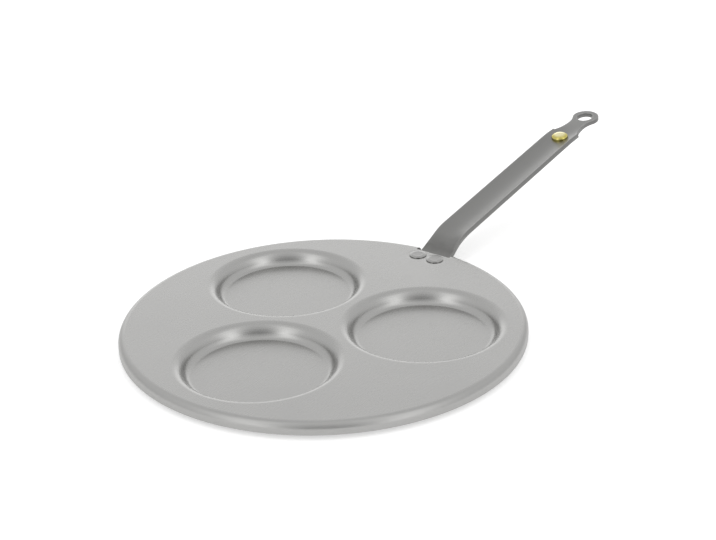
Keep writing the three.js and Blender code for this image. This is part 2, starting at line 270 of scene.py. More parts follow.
class Sheet:
    """Formed sheet metal: pairs of points on its two faces, and the polygons between them."""

    def __init__(self):
        self.upper, self.lower, self.faces, self.index = [], [], [], {}

    def point(self, upper, lower):
        key = tuple(round(c, POINT_DIGITS) for c in upper)
        if key not in self.index:
            self.index[key] = len(self.upper)
            self.upper.append(Vector(upper))
            self.lower.append(Vector(lower))
        return self.index[key]

    def face(self, corners):
        corners = [c for i, c in enumerate(corners) if c != corners[i - 1]]
        if len(corners) > 2:
            self.faces.append(corners)

    def rows(self, rows, closed):
        """Quads between neighbouring rows of points."""
        for row, following in zip(rows, rows[1:]):
            count = len(row)
            for j in range(count if closed else count - 1):
                k = (j + 1) % count
                self.face([row[j], row[k], following[k], following[j]])

    def boundary(self):
        """The sides that only one face has, each as the points that it runs from and to."""
        sides = {(a, b) for face in self.faces for a, b in zip(face, face[1:] + face[:1])}
        return [(a, b) for a, b in sides if (b, a) not in sides]

    def mesh(self, name, edge_radius):
        """A closed mesh with rounded cut edges: the wear share is 1 where they start, and the cut share,
        which also carries painted shade, is 1 on their wall.
        """
        count = len(self.upper)
        normals = [Vector() for _ in self.upper]
        for face in self.faces:
            a, b, c = (self.upper[i] for i in face[:3])
            direction = (b - a).cross(c - b)
            for i in face:
                normals[i] += direction
        edge = self.boundary()
        after = dict(edge)
        before = {b: a for a, b in edge}
        points = [p.copy() for p in self.upper] + [p.copy() for p in self.lower]
        wear_and_highlight = [0.0] * (2 * count)
        cut_and_shade = [0.0] * (2 * count)
        faces = [list(face) for face in self.faces]
        faces += [[count + i for i in reversed(face)] for face in self.faces]
        hems = {}
        for i in sorted(after):
            here, under = self.upper[i], self.lower[i]
            normal = normals[i].normalized()
            into = normal.cross(here - self.upper[before[i]]).normalized()
            out = normal.cross(self.upper[after[i]] - here).normalized()
            inward = (into + out) / (1 + into.dot(out))
            down = (under - here).normalized()
            hem = []
            for start, along in ((here, down), (under, -down)):
                for k in range(EDGE_STEPS + 1):
                    angle = math.pi / 2 * k / EDGE_STEPS
                    shift = inward * (1 - math.sin(angle)) + along * (1 - math.cos(angle))
                    hem.append(start + shift * edge_radius)
            points[i] = hem[0]
            points[count + i] = hem[EDGE_STEPS + 1]
            between = hem[1:EDGE_STEPS + 1] + hem[:EDGE_STEPS + 1:-1]
            hems[i] = [i] + list(range(len(points), len(points) + len(between))) + [count + i]
            points += between
            turn = spread(0, 1, EDGE_STEPS)[1:]
            cut_and_shade += turn + turn[::-1]
            wear_and_highlight += [1 - t for t in turn + turn[::-1]]
            wear_and_highlight[i] = wear_and_highlight[count + i] = 1.0
        for a, b in edge:
            for k in range(len(hems[a]) - 1):
                faces.append([hems[b][k], hems[a][k], hems[a][k + 1], hems[b][k + 1]])
        return new_object(name, points, faces, {"wear_and_highlight": wear_and_highlight, "cut_and_shade": cut_and_shade})


def new_object(name, points, faces, attributes):
    """A smooth mesh object with a number for each point in each of its attributes."""
    mesh = bpy.data.meshes.new(name)
    mesh.from_pydata(points, [], faces)
    mesh.validate()
    for attribute, values in attributes.items():
        mesh.attributes.new(attribute, "FLOAT", "POINT").data.foreach_set("value", values)
    mesh.shade_smooth()
    mesh.set_sharp_from_angle(angle=SHARP_ANGLE)
    piece = bpy.data.objects.new(name, mesh)
    bpy.context.scene.collection.objects.link(piece)
    return piece


def turned(name, profile, place):
    """A piece turned about its own axis.

    Its profile gives radius, height, a share of wear and painted highlight, and a share of cut and painted
    shade, and starts and ends on the axis.
    """
    points, wear_and_highlight, cut_and_shade, rings = [], [], [], []
    for radius, height, worn_and_highlit, sheared_and_shaded in profile:
        count = TURNED_COLUMNS if radius > 0 else 1
        rings.append(list(range(len(points), len(points) + count)))
        for j in range(count):
            angle = 2 * math.pi * j / TURNED_COLUMNS
            points.append(place @ Vector((radius * math.cos(angle), radius * math.sin(angle), height)))
        wear_and_highlight += [worn_and_highlit] * count
        cut_and_shade += [sheared_and_shaded] * count
    faces = []
    for lower, upper in zip(rings, rings[1:]):
        for j in range(TURNED_COLUMNS):
            k = (j + 1) % TURNED_COLUMNS
            corners = [lower[j % len(lower)], lower[k % len(lower)]]
            corners += [upper[k % len(upper)], upper[j % len(upper)]]
            corners = [c for i, c in enumerate(corners) if c != corners[i - 1]]
            faces.append(corners)
    return new_object(name, points, faces, {"wear_and_highlight": wear_and_highlight, "cut_and_shade": cut_and_shade})


# Plate


def well_profile():
    """Radius and height on both faces of a well, from the middle of its floor out to the flat web."""
    corner = (WELL_FLOOR_RADIUS, WELL_CORNER_RADIUS - well_depth)
    shoulder = (well_radius, -WELL_SHOULDER_RADIUS)
    down, up = -math.pi / 2, math.pi / 2
    faces = []
    for depth in (0.0, SHEET):
        floor = -well_depth - depth
        rings = [0.0] + spread(WELL_FLOOR_RADIUS / FLOOR_RINGS, WELL_FLOOR_RADIUS - GUARD, FLOOR_RINGS)
        profile = [(radius, floor) for radius in rings]
        profile += arc(corner, WELL_CORNER_RADIUS + depth, down, down + well_turn, CORNER_STEPS)
        profile += arc(shoulder, WELL_SHOULDER_RADIUS - depth, up + well_turn, up, SHOULDER_STEPS)[1:]
        profile.append((well_radius + GUARD, -depth))
        faces.append(profile)
    return list(zip(*faces))


def rim_profile():
    """Radius and height on both faces of the rim, from the flat plate to the lip."""
    bend = (flat_radius, -RIM_BEND_RADIUS)
    faces = []
    for depth in (0.0, SHEET):
        profile = [(flat_radius - GUARD, -depth)]
        profile += arc(bend, RIM_BEND_RADIUS - depth, math.pi / 2, 0, BEND_STEPS)
        wall = spread(-RIM_BEND_RADIUS, -RIM_HEIGHT, RIM_WALL_STEPS)
        profile += [(pan_radius - depth, z) for z in wall[1:]]
        faces.append(profile)
    return list(zip(*faces))


def well_centres():
    """Centres of the wells, the first one opposite the handle."""
    angles = [math.pi + 2 * math.pi * i / WELL_COUNT for i in range(WELL_COUNT)]
    return [(well_pitch_radius * math.cos(a), well_pitch_radius * math.sin(a)) for a in angles]


def ring(centre, radius, columns):
    return arc(centre, radius, 0, 2 * math.pi, columns)[:-1]


def rim_ring(radius):
    """Points round the rim at a radius, from one side of the notch to the other."""
    gap = math.asin(notch_half / radius)
    return arc((0, 0), radius, gap, 2 * math.pi - gap, RIM_COLUMNS)


def rivet_distance(x, y):
    """Distance to the middle of the nearer rivet."""
    return math.dist((x, abs(y)), (rivet_x, rivet_y))


def plate_dip(x, y):
    """How far the plate's upper face is pressed down round the rivets' heads."""
    return RIVET_DIMPLE * (1 - smoothstep(rivet_distance(x, y) - rivet_head_radius, 0, DIMPLE_REACH))


def dimple_points():
    """Rings of points round the rivets' heads, and a row of points midway between the heads."""
    row = spread(rivet_x - rivet_head_radius, rivet_x + rivet_head_radius, DIMPLE_ROW_STEPS)
    points = [(x, 0.0) for x in row]
    for reach in spread(0, DIMPLE_REACH, DIMPLE_RINGS):
        for side in (1, -1):
            circle = ring((rivet_x, side * rivet_y), rivet_head_radius + reach, 2 * HOLE_COLUMNS)
            points += [(x, y) for x, y in circle if y * side > GUARD]
    return points


def make_plate():
    sheet = Sheet()
    for centre in well_centres():
        rows = []
        for (radius, top), (under_radius, bottom) in well_profile():
            upper = ring(centre, radius, WELL_COLUMNS)
            lower = ring(centre, under_radius, WELL_COLUMNS)
            rows.append([sheet.point((*u, top), (*v, bottom)) for u, v in zip(upper, lower)])
        sheet.rows(rows[::-1], closed=True)
    rows = []
    for (radius, top), (under_radius, bottom) in rim_profile():
        pairs = zip(rim_ring(radius), rim_ring(under_radius))
        rows.append([sheet.point((*u, top), (*v, bottom)) for u, v in pairs])
    sheet.rows(rows[::-1], closed=False)
    outline = rim_ring(flat_radius - GUARD)
    outline += [(notch_x, y) for y in spread(-notch_half, notch_half, NOTCH_STEPS)]
    holes = [ring(c, well_radius + GUARD, WELL_COLUMNS) for c in well_centres()]
    holes += [ring((rivet_x, side * rivet_y), rivet_hole_radius, HOLE_COLUMNS) for side in (1, -1)]
    steps = int(2 * flat_radius / WEB_SPACING)
    grid = spread(-flat_radius, flat_radius, steps)
    inner = [(x, y) for x in grid for y in grid]
    span = NOTCH_SPACING * NOTCH_ROWS
    across = spread(-span, span, 2 * NOTCH_ROWS)
    inner += [(x, y) for x in spread(notch_x - span, notch_x, NOTCH_ROWS) for y in across]
    dimple_edge = rivet_head_radius + DIMPLE_REACH + GUARD
    inner = [p for p in inner if rivet_distance(*p) > dimple_edge] + dimple_points()
    places, faces = triangles(outline, holes, inner, NOTCH_SPACING / 2)
    corners = [sheet.point((x, y, -plate_dip(x, y)), (x, y, -SHEET)) for x, y in places]
    for face in faces:
        sheet.face([corners[i] for i in face])
    return sheet.mesh("plate_shell", PLATE_EDGE)


# Handle


def strip_place(distance):
    """Place and slope of the middle of the strip's upper face, at a distance from the rivets."""
    x, z, slope = rivet_x, -SHEET, 0.0
    for length, turn in strip_runs:
        step = min(distance, length)
        bend = turn * step / length
        if turn:
            radius = length / turn
            x += radius * (math.sin(slope + bend) - math.sin(slope))
            z += radius * (math.cos(slope) - math.cos(slope + bend))
        else:
            x += step * math.cos(slope)
            z += step * math.sin(slope)
        slope += bend
        distance -= step
        if distance <= 0:
            break
    return x, z, slope


def strip_side(distance):
    """Half the strip's width, which flares at the root."""
    return strip_half + ROOT_FLARE * (1 - smoothstep(distance, root, root + FLARE_LENGTH))


def dish_rise(distance, across):
    """How far the dish lifts the strip's upper face."""
    forming = smoothstep(distance, root, grip_start + DISH_RUN_IN)
    fading = 1 - smoothstep(distance, shoulder_at - DISH_FADE_LEAD, shoulder_at + DISH_FADE_OUT)
    return DISH_DEPTH * forming * fading * (across / strip_half) ** 2


def strip_point(distance, across, kept=1.0):
    """A point on the strip's upper face, with a share of the dish's rise kept."""
    x, z, slope = strip_place(distance)
    rise = dish_rise(distance, across) * kept
    return Vector((x - rise * math.sin(slope), across, z + rise * math.cos(slope)))


def strip_pair(distance, across):
    """The points on the strip's two faces, with a flat seat for the stud cut into the upper one."""
    nudge = 1e-5
    along = strip_point(distance + nudge, across) - strip_point(distance - nudge, across)
    over = strip_point(distance, across + nudge) - strip_point(distance, across - nudge)
    lower = strip_point(distance, across) - along.cross(over).normalized() * STRIP_THICKNESS
    outside_seat = smoothstep(math.hypot(distance - stud_at, across), seat_radius, seat_radius + SEAT_WALL)
    return strip_point(distance, across, outside_seat), lower


def strip_rows():
    """Distances of the cross lines along the strip, close together where it bends."""
    rows = []
    start = 0.0
    for (length, _), spacing in zip(strip_runs, STRIP_SPACINGS):
        steps = max(1, round(length / spacing))
        rows += spread(start, start + length, steps)[:-1]
        start += length
    return [s for s in rows if s < shoulder_at - TOUCHING] + [shoulder_at]


def strip_outline():
    """The strip's outline laid flat, as distance along and place across."""
    step = strip_half - SHOULDER_STEP
    neck = NECK_WIDTH / 2
    drop = step - neck
    shoulder_arc = (NECK_LENGTH ** 2 + drop ** 2) / (2 * drop)
    eye_arc = (EYE_REACH ** 2 + neck ** 2 - EYE_RADIUS ** 2) / (2 * (EYE_RADIUS - neck))
    shoulder_turn = math.asin(NECK_LENGTH / shoulder_arc)
    eye_turn = math.asin(EYE_REACH / (eye_arc + EYE_RADIUS))
    up = math.pi / 2
    side = arc((0, -rivet_y), foot_radius, math.pi, 3 * up, FOOT_STEPS)
    reach = side[-1][1]
    narrowing = -strip_side(root) - reach
    side += [(root * t, reach + narrowing * t) for t in spread(0, 1, FOOT_SIDE_STEPS)[1:-1]]
    side += [(s, -strip_side(s)) for s in strip_rows() if s >= root - TOUCHING]
    side += [(shoulder_at, -strip_half + SHOULDER_STEP / 2)]
    side += arc((neck_at, -neck - shoulder_arc), shoulder_arc, up + shoulder_turn, up, NECK_STEPS)
    side += arc((neck_at, -neck - eye_arc), eye_arc, up, up - eye_turn, NECK_STEPS)[1:]
    side += arc((eye_at, 0), EYE_RADIUS, -up - eye_turn, 0, EYE_STEPS)[1:]
    back = [(s, -y) for s, y in reversed(side[:-1])]
    front = [(side[0][0], y) for y in spread(rivet_y, -rivet_y, FOOT_FRONT_STEPS)[1:-1]]
    return side + back + front


def make_handle():
    outline = strip_outline()
    holes = [ring((0, side * rivet_y), rivet_hole_radius, HOLE_COLUMNS) for side in (1, -1)]
    holes.append(ring((stud_at, 0), STUD_SHANK_RADIUS + SHANK_CLEARANCE, HOLE_COLUMNS))
    longer = 1 + HANGING_HOLE_STRETCH / HANGING_HOLE_RADIUS
    eye_ring = ring((0, 0), HANGING_HOLE_RADIUS, EYE_COLUMNS)
    holes.append([(eye_at - HANGING_HOLE_STRETCH + longer * s, y) for s, y in eye_ring])
    across = spread(-strip_half, strip_half, STRIP_COLUMNS)
    gap = STRIP_WIDTH / STRIP_COLUMNS
    margin = gap * POINT_CLEARANCE
    wide = spread(-rivet_y - foot_radius, rivet_y + foot_radius, 2 * STRIP_COLUMNS)
    inner = [(s, y) for s in spread(-foot_radius, root, FOOT_STEPS)[:-1] for y in wide]
    inner += [(s, y) for s in strip_rows() if s >= root for y in across]
    tongue = int((eye_at + EYE_RADIUS - shoulder_at) / gap)
    inner += [(s, y) for s in spread(shoulder_at, eye_at + EYE_RADIUS, tongue)[1:] for y in across]
    inner = [p for p in inner if abs(math.dist(p, (stud_at, 0)) - seat_radius) > margin]
    for radius in (seat_radius, seat_radius + SEAT_WALL):
        inner += ring((stud_at, 0), radius, 2 * HOLE_COLUMNS)
    places, faces = triangles(outline, holes, inner, margin)
    sheet = Sheet()
    corners = [sheet.point(*strip_pair(s, y)) for s, y in places]
    for face in faces:
        sheet.face([corners[i] for i in face])
    return sheet.mesh("handle_strip", STRIP_EDGE)


# Rivets and stud, with shares of wear and of painted shade on sheared metal, the darkening of a rivet's face,
# and zones of that face from its edge inwards

LIGHT_WEAR = 0.3
# Painted shade on a rivet head's rounded edge; its wall takes it in full
EDGE_SHADE = 0.5
HOLLOW_ZONE = (0.05, 0.4)
# The rivet face is painted darker towards its middle
FACE_DARKENING = 0.12
FACE_DARKENING_ZONE = (0, 0.3)
# Painted shade on the stud head's underside and wall
STUD_UNDER_SHADE = 0.6
STUD_WALL_SHADE = 0.1
STUD_BROW_WEAR = 0.15


def dome(radius, base, height, steps):
    """A shallow dome from its edge in to the axis."""
    return [(radius * (1 - t), base + height * (1 - (1 - t) ** 2)) for t in spread(0, 1, steps)]


def make_rivet(name, side):
    """A formed head under the foot, a shank, and a low head.

    The low head has a sheared wall and rounded edge painted with shade, a wide bevel, and a hollow face
    painted darker towards its middle.
    """
    seat = -SHEET - STRIP_THICKNESS
    top = rivet_head_height
    face = rivet_head_radius - RIVET_BEVEL
    rise = top - RIVET_WALL
    slope = math.atan2(rise, RIVET_BEVEL)
    corner = RIVET_EDGE_RADIUS
    middle = (rivet_head_radius - corner, RIVET_WALL - corner * math.tan(math.pi / 4 - slope / 2))
    bulge = dome(RIVET_TAIL_RADIUS, seat, RIVET_TAIL_HEIGHT, TAIL_RINGS)
    tail = [(r, 2 * seat - z, LIGHT_WEAR, 0.0) for r, z in reversed(bulge)]
    shank = [(RIVET_SHANK_RADIUS, seat, 0.0, 0.0), (RIVET_SHANK_RADIUS, -RIVET_DIMPLE, 0.0, 1.0)]
    # The head's wall and rounded edge are painted with shade through their cut share
    head = [(rivet_head_radius, -RIVET_DIMPLE, 0.0, 1.0), (rivet_head_radius, middle[1] / 2, 0.0, 1.0)]
    head += [(r, z, 1.0, EDGE_SHADE) for r, z in arc(middle, corner, 0, math.pi / 2 - slope, EDGE_STEPS)]
    bevel = [(rivet_head_radius - RIVET_BEVEL * t, RIVET_WALL + rise * t) for t in BEVEL_SHARES]
    head += [(r, z, LIGHT_WEAR, 0.0) for r, z in bevel]
    # The face is painted darker towards its middle
    for t in spread(0, 1, FACE_RINGS):
        hollow = RIVET_HOLLOW * smoothstep(t, *HOLLOW_ZONE)
        head.append((face * (1 - t), top - hollow, 0.0, FACE_DARKENING * smoothstep(t, *FACE_DARKENING_ZONE)))
    return turned(name, tail + shank + head, Matrix.Translation((rivet_x, side * rivet_y, 0)))


def make_stud():
    """A closed tail under the strip, a shank, and a head with a wall and a low dome; the head's underside and
    wall are painted with shade, and the dome's top with a highlight.
    """
    wall = SEAT_GAP + STUD_WALL
    top = SEAT_GAP + STUD_HEAD_HEIGHT
    under = -STRIP_THICKNESS - SEAT_GAP
    edge = STUD_EDGE_RADIUS
    tail = (STUD_TAIL_RADIUS - edge, under - STUD_TAIL_HEIGHT + edge)
    ball = (STUD_HEAD_RADIUS ** 2 + (top - wall) ** 2) / (2 * (top - wall))
    brow_radius = STUD_HEAD_RADIUS - edge
    brow = (brow_radius, top - ball + math.sqrt((ball - edge) ** 2 - brow_radius ** 2))
    crown = math.asin(brow_radius / (ball - edge))
    profile = [(0.0, under - STUD_TAIL_HEIGHT, 0.0, 0.0)]
    profile += [(r, z, 0.0, 0.0) for r, z in arc(tail, edge, -math.pi / 2, 0, STUD_EDGE_STEPS)]
    profile += [(STUD_TAIL_RADIUS, under, 0.0, 0.0), (STUD_SHANK_RADIUS, under, 0.0, 0.0)]
    # The head's underside and wall are painted with shade through their cut share
    profile += [(STUD_SHANK_RADIUS, SEAT_FIT, 0.0, 1.0), (STUD_HEAD_RADIUS, SEAT_FIT, 0.0, STUD_UNDER_SHADE)]
    sides = spread(wall / 3, brow[1], STUD_WALL_STEPS)[:-1]
    profile += [(STUD_HEAD_RADIUS, z, 0.0, STUD_WALL_SHADE) for z in sides]
    rounding = arc(brow, edge, 0, math.pi / 2 - crown, STUD_EDGE_STEPS)
    profile += [(r, z, STUD_BROW_WEAR, 0.0) for r, z in rounding]
    # The dome's top is painted with a highlight through its wear share
    for angle in spread(crown, 0, CROWN_RINGS)[1:]:
        radius = ball * math.sin(angle)
        highlight_share = 1 - smoothstep(radius, STUD_HIGHLIGHT_RADIUS / 2, STUD_HIGHLIGHT_RADIUS)
        profile.append((radius, top - ball + ball * math.cos(angle), highlight_share, 0.0))
    x, z, slope = strip_place(stud_at)
    place = Matrix.Translation((x, 0, z)) @ Matrix.Rotation(-slope, 4, "Y")
    return turned("brass_stud", profile, place)


# Materials

# Vector operations that give a number, and the factors that drop a vector's height
NUMBER_OPERATIONS = ("DOT_PRODUCT", "DISTANCE", "LENGTH")
LEVEL = (1.0, 1.0, 0.0)

# The noises that the metals share, with scales in cells per metre where the place isn't stretched
CLOUDS = {"scale": 16.0, "detail": 4.0, "roughness": 0.55, "distortion": 0.6}
PATCHES = {"scale": 75.0, "detail": 3.0, "roughness": 0.6, "distortion": 1.2}
STREAKS = {"scale": 1.0, "detail": 5.0, "roughness": 0.6}
GRAIN = {"scale": 5200.0, "detail": 3.0, "roughness": 0.6}
PITS = {"scale": 1300.0, "detail": 2.0, "roughness": 0.5}
SPUN = {"Scale": 1.0, "Detail": 2.0, "Roughness": 0.6}

# The part of each noise's range over which its effect comes in, and how strong it gets
SWING_RANGE = (0.3, 0.7)
RUB_RANGE = (0.3, 0.6)
RUB_SHARES = (0.5, 1.0)
RUB_SMOOTHING = 0.06
MARK_RANGE = (0.55, 0.8)
MARK_SHARE = 0.5
MARK_SHADE = 0.94
MARK_ROUGHNESS = 0.05
STREAK_RANGE = (0.35, 0.75)
STREAK_SHARE = 0.3
STREAK_SHADE = 0.93
PIT_RANGE = (0.7, 0.8)
PIT_SHARE = 0.25
PIT_SHADE = 0.75
ROUGHNESS_SWING = 0.02
BAND_WAVE = 0.003
BAND_FAINT = 0.1
GRAIN_HEIGHT = 0.0000008
GRAIN_PART = 0.5
STREAK_PART = 0.3


class Nodes:
    """Short ways to add and join nodes in a material or world."""

    def __init__(self, owner):
        owner.use_nodes = True
        self.tree = owner.node_tree
        self.tree.nodes.clear()

    def add(self, kind, values=(), **settings):
        node = self.tree.nodes.new(kind)
        for name, value in settings.items():
            setattr(node, name, value)
        for socket, value in dict(values).items():
            self.set(node.inputs[socket], value)
        return node

    def set(self, socket, value):
        if isinstance(value, bpy.types.NodeSocket):
            self.tree.links.new(value, socket)
        else:
            socket.default_value = value

    def math(self, operation, a, b=0.0, clamp=False):
        node = self.add("ShaderNodeMath", operation=operation, use_clamp=clamp)
        self.set(node.inputs[0], a)
        self.set(node.inputs[1], b)
        return node.outputs[0]

    def vector(self, operation, a, b=(0.0, 0.0, 0.0)):
        """Vector maths, with a number out of the operations that give one."""
        outputs = self.add("ShaderNodeVectorMath", {0: a, 1: b}, operation=operation).outputs
        return outputs["Value" if operation in NUMBER_OPERATIONS else "Vector"]

    def span(self, value, low, high, to_low, to_high):
        values = {"Value": value, "From Min": low, "From Max": high, "To Min": to_low, "To Max": to_high}
        return self.add("ShaderNodeMapRange", values).outputs["Result"]

    def noise(self, place, scale, detail=3.0, roughness=0.5, distortion=0.0):
        values = {"Vector": place, "Scale": scale, "Detail": detail, "Roughness": roughness}
        values["Distortion"] = distortion
        return self.add("ShaderNodeTexNoise", values).outputs["Fac"]

    def stretched(self, place, scale):
        return self.add("ShaderNodeMapping", {"Vector": place, "Scale": scale}).outputs["Vector"]

    def mix(self, factor, a, b):
        node = self.add("ShaderNodeMix", data_type="RGBA")
        self.set(node.inputs["Factor"], factor)
        self.set(node.inputs["A"], a)
        self.set(node.inputs["B"], b)
        return node.outputs["Result"]


def shade(colour, factor):
    """A colour with its three parts scaled, and full alpha."""
    return (*(c * factor for c in colour), 1.0)


def spun_lines(nodes, level, rise, fall, pitch, height):
    """Height of fine lines round the wells, left on their walls by the forming tool."""
    radius = None
    for centre in well_centres():
        away = nodes.vector("DISTANCE", level, (*centre, 0.0))
        radius = nodes.math("MINIMUM", radius, away) if radius else away
    values = {"W": nodes.math("DIVIDE", radius, pitch), **SPUN}
    lines = nodes.add("ShaderNodeTexNoise", values, noise_dimensions="1D").outputs["Fac"]
    wall = nodes.math("MULTIPLY", nodes.span(radius, *rise, 0.0, height), nodes.span(radius, *fall, 1.0, 0.0))
    return nodes.math("MULTIPLY", lines, wall)


def metal(name, colour, cut_and_shade_colour, worn_and_highlight_colour, roughness, streak_scale, mottle,
          dark_band=None, shaded_end=None, dull=None, spun=None):
    """Raw metal: cloudy patches, rolling streaks, a fine grain, sheared faces and rubbed edges; sheared faces
    can carry painted shade, and the wear share a painted highlight.

    A darker band along X, painted shade on the sheared faces past a place along X, a duller rim and spun
    lines are there if given.
    """
    material = bpy.data.materials.new(name)
    nodes = Nodes(material)
    place = nodes.add("ShaderNodeTexCoord").outputs["Object"]
    clouds = nodes.noise(place, **CLOUDS)
    patches = nodes.noise(place, **PATCHES)
    streaks = nodes.noise(nodes.stretched(place, streak_scale), **STREAKS)
    grain = nodes.noise(place, **GRAIN)
    pits = nodes.noise(place, **PITS)
    wear_and_highlight = nodes.add("ShaderNodeAttribute", attribute_name="wear_and_highlight").outputs["Fac"]
    sheared_and_shaded = nodes.add("ShaderNodeAttribute", attribute_name="cut_and_shade").outputs["Fac"]
    rubbed_and_highlit = nodes.math("MULTIPLY", wear_and_highlight, nodes.span(patches, *RUB_RANGE, *RUB_SHARES), clamp=True)
    cloudy = nodes.span(clouds, *SWING_RANGE, 0.0, 1.0)
    base = nodes.mix(cloudy, shade(colour, 1 - mottle), shade(colour, 1 + mottle))
    marks = nodes.span(patches, *MARK_RANGE, 0.0, MARK_SHARE)
    stained = nodes.mix(marks, base, shade(colour, MARK_SHADE))
    streaky = nodes.span(streaks, *STREAK_RANGE, 0.0, STREAK_SHARE)
    streaked = nodes.mix(streaky, stained, shade(colour, STREAK_SHADE))
    pitted = nodes.span(pits, *PIT_RANGE, 0.0, PIT_SHARE)
    finished = nodes.mix(pitted, streaked, shade(colour, PIT_SHADE))
    along = nodes.add("ShaderNodeSeparateXYZ", {"Vector": place}).outputs["X"]
    # Sheared faces take the cut colour, which on the rivets, the stud and the handle's eye is painted shade
    cut_and_shade_face = shade(cut_and_shade_colour, 1.0)
    if shaded_end:
        past = nodes.span(along, *shaded_end["from"], 0.0, 1.0)
        cut_and_shade_face = nodes.mix(past, cut_and_shade_face, shade(shaded_end["colour"], 1.0))
    finished = nodes.mix(sheared_and_shaded, finished, cut_and_shade_face)
    # Rubbed edges are lighter, and on the stud's dome this mix paints a highlight
    finished = nodes.mix(rubbed_and_highlit, finished, shade(worn_and_highlight_colour, 1.0))
    # A darker band along X
    if dark_band:
        wavy = nodes.math("ADD", along, nodes.span(patches, *SWING_RANGE, -BAND_WAVE, BAND_WAVE))
        rising = nodes.span(wavy, *dark_band["rise"], BAND_FAINT, 1.0)
        darkened = nodes.math("MULTIPLY", rising, nodes.span(wavy, *dark_band["fall"], 1.0, 0.0))
        finished = nodes.mix(darkened, finished, shade(dark_band["colour"], 1.0))
    rough = nodes.span(clouds, *SWING_RANGE, roughness - ROUGHNESS_SWING, roughness + ROUGHNESS_SWING)
    rough = nodes.math("ADD", rough, nodes.span(streaks, *SWING_RANGE, -ROUGHNESS_SWING, ROUGHNESS_SWING))
    rough = nodes.math("ADD", rough, nodes.math("MULTIPLY", marks, MARK_ROUGHNESS))
    rough = nodes.math("SUBTRACT", rough, nodes.math("MULTIPLY", rubbed_and_highlit, RUB_SMOOTHING), clamp=True)
    level = nodes.vector("MULTIPLY", place, LEVEL)
    if dull:
        radius = nodes.vector("LENGTH", level)
        rough = nodes.math("ADD", rough, nodes.span(radius, *dull["from"], 0.0, dull["more"]))
    grains = nodes.math("MULTIPLY", grain, GRAIN_PART)
    surface = nodes.math("ADD", grains, nodes.math("MULTIPLY", streaks, STREAK_PART))
    surface = nodes.math("MULTIPLY", surface, GRAIN_HEIGHT)
    if spun:
        surface = nodes.math("ADD", surface, spun_lines(nodes, level, **spun))
    bump = nodes.add("ShaderNodeBump", {"Strength": 1.0, "Distance": 1.0, "Height": surface})
    shader = nodes.add("ShaderNodeBsdfPrincipled", {
        "Base Color": finished,
        "Metallic": 1.0,
        "Roughness": rough,
        "Normal": bump.outputs["Normal"],
    })
    output = nodes.add("ShaderNodeOutputMaterial")
    nodes.set(output.inputs["Surface"], shader.outputs["BSDF"])
    return material


# Colours, and where the finishes change, in metres along X or out from a middle
PLATE_COLOUR = (0.455, 0.453, 0.445)
PLATE_WORN = (0.49, 0.488, 0.48)
HANDLE_COLOUR = (0.272, 0.271, 0.265)
HANDLE_CUT = (0.27, 0.269, 0.263)
# Painted shade on the handle's sheared faces round the eye
HANDLE_EYE_SHADE = {"colour": (0.2, 0.199, 0.195), "from": (0.309, 0.318)}
HANDLE_WORN = (0.4, 0.399, 0.391)
# A darker band across the handle's wrist, beside the plate
HANDLE_WRIST_BAND = {"colour": (0.2, 0.199, 0.194), "rise": (0.1285, 0.1355), "fall": (0.1365, 0.1495)}
LINES_MARGIN = 0.001
LINES_FADE = 0.004
WALL_LINES = {
    "rise": (WELL_FLOOR_RADIUS + LINES_MARGIN, WELL_FLOOR_RADIUS + LINES_FADE),
    "fall": (well_radius - LINES_FADE, well_radius),
    "pitch": 0.0005,
    "height": 0.00007,
}
DULL_MARGIN = 0.001
RIM_DULL = {"from": (flat_radius, pan_radius - DULL_MARGIN), "more": 0.1}
RIVET_COLOUR = (0.375, 0.373, 0.367)
# Painted shade on the rivet heads' walls and edges, and the darker middle of their faces
RIVET_SHADE = (0.2, 0.198, 0.193)
RIVET_WORN = (0.46, 0.458, 0.45)
BRASS_COLOUR = (0.62, 0.54, 0.15)
# Painted shade on the stud head's underside and wall
BRASS_SHADE = (0.38, 0.32, 0.1)
# Rubbed brass on the brow, and a painted highlight on the dome's top
BRASS_WORN_AND_HIGHLIGHT = (0.95, 0.89, 0.55)
ALL_WAYS = (260.0, 260.0, 260.0)
ALONG_X = (60.0, 2400.0, 2400.0)


def dress(piece, node, material):
    piece.data.materials.append(material)
    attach(piece, "root")
    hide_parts(node)


plate_steel = metal("plate_steel", PLATE_COLOUR, PLATE_COLOUR, PLATE_WORN, roughness=0.27,
                    streak_scale=ALONG_X, mottle=0.02, dull=RIM_DULL, spun=WALL_LINES)
handle_steel = metal("handle_steel", HANDLE_COLOUR, HANDLE_CUT, HANDLE_WORN, roughness=0.32,
                     streak_scale=ALONG_X, mottle=0.03, dark_band=HANDLE_WRIST_BAND, shaded_end=HANDLE_EYE_SHADE)
rivet_steel = metal("rivet_steel", RIVET_COLOUR, RIVET_SHADE, RIVET_WORN, roughness=0.28,
                    streak_scale=ALL_WAYS, mottle=0.03)
brass = metal("brass", BRASS_COLOUR, BRASS_SHADE, BRASS_WORN_AND_HIGHLIGHT, roughness=0.16,
              streak_scale=ALL_WAYS, mottle=0.03)

dress(make_plate(), "pan_plate", plate_steel)
dress(make_handle(), "handle", handle_steel)
dress(make_rivet("rivet_left_turned", 1), "rivet_left", rivet_steel)
dress(make_rivet("rivet_right_turned", -1), "rivet_right", rivet_steel)
dress(make_stud(), "medallion_stud", brass)


# Studio

# The floor, its glow for the camera, and the share of that glow that shows in the metal
FLOOR_REACH = 30.0
FLOOR_WHITE = 0.8
FLOOR_GLOW = 0.5
METAL_SHARE = 0.65

